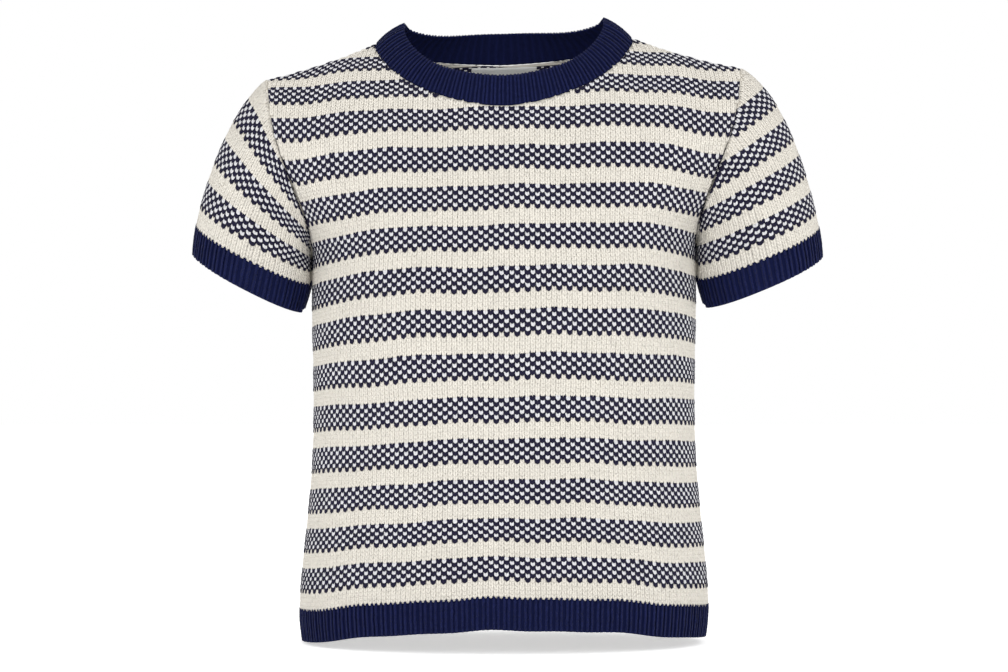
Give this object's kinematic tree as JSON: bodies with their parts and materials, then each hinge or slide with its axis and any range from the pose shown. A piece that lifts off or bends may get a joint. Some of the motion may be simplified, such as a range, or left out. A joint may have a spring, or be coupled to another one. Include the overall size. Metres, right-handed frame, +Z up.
{
  "type": "striped knitted jumper",
  "caption": "Short-sleeved crew-neck jumper in striped knit, filled out as worn, with ribbed neckband, cuffs and hem.",
  "frame": {"origin": "middle of the neck, level with the high points of the shoulders, where the wearer carries the garment", "axes": "+Z up, the front of the jumper looks along -Y, +X to the viewer's right"},
  "size_m": [0.5056, 0.2225, 0.4966],
  "materials": {
    "cream_knit": "plain knit in cream, with bands of navy and white stitches",
    "navy_rib": "one by one rib in navy",
    "label_tape": "smooth woven tape, plain"
  },
  "bodies": {
    "root": {"front": "cream_knit", "back": "cream_knit", "sleeve_left": "cream_knit", "sleeve_right": "cream_knit", "neckband": "navy_rib", "hem_front": "navy_rib", "hem_back": "navy_rib", "cuff_left": "navy_rib", "cuff_right": "navy_rib", "label": "label_tape"}
  },
  "joints": []
}
